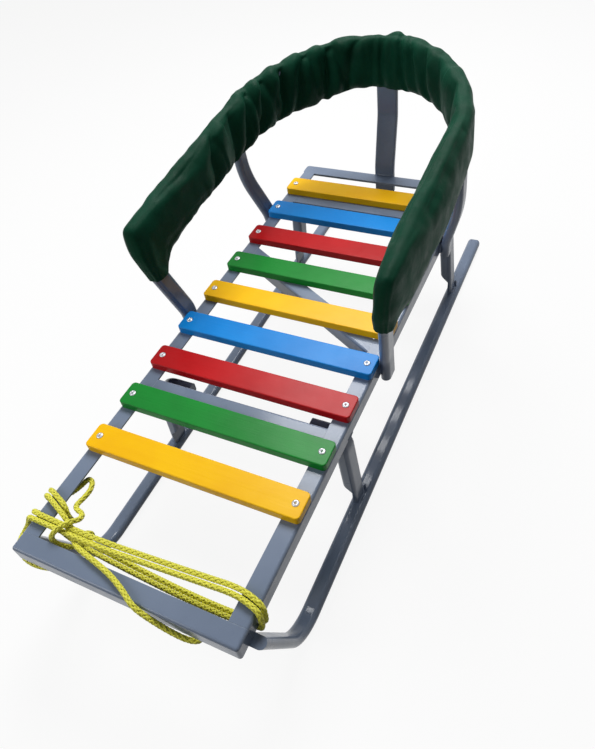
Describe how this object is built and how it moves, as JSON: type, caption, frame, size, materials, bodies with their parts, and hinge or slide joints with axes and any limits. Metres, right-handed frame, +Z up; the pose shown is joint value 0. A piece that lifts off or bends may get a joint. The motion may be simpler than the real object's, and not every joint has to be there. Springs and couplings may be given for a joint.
{
  "type": "child's sled",
  "caption": "Sled with two tube runners, a welded frame, cross slats in four colours, a fabric-sleeved hoop as arm rests and back, and a rope wound on the nose.",
  "frame": {"origin": "on the ground, under the middle of the sled's length and width", "axes": "+Y towards the rear ends of the runners, +X towards the rider's right seen from the front of the sled, +Z up"},
  "size_m": [0.412, 0.9887, 0.4356],
  "materials": {
    "frame_paint": "semi-gloss blue-grey paint",
    "yellow_paint": "glossy yellow paint on wood",
    "green_paint": "glossy green paint on wood",
    "red_paint": "glossy red paint on wood",
    "blue_paint": "glossy blue paint on wood",
    "sleeve_fabric": "dark green woven fabric",
    "rope_fibre": "yellow twisted fibre"
  },
  "bodies": {
    "root": {"back_post": "frame_paint", "blue_slats": "blue_paint", "diagonal_brace": "frame_paint", "front_cross_member": "frame_paint", "front_crosstie": "frame_paint", "green_slats": "green_paint", "hoop": "frame_paint", "left_front_leg": "frame_paint", "left_rear_leg": "frame_paint", "left_rear_strut": "frame_paint", "left_runner": "frame_paint", "left_side_rail": "frame_paint", "left_sleeve_arm": "sleeve_fabric", "left_sleeve_back": "sleeve_fabric", "rear_cross_bar": "frame_paint", "rear_crosstie": "frame_paint", "red_slats": "red_paint", "right_front_leg": "frame_paint", "right_rear_leg": "frame_paint", "right_rear_strut": "frame_paint", "right_runner": "frame_paint", "right_side_rail": "frame_paint", "right_sleeve_arm": "sleeve_fabric", "right_sleeve_back": "sleeve_fabric", "tow_rope": "rope_fibre", "yellow_slats": "yellow_paint"}
  },
  "joints": []
}
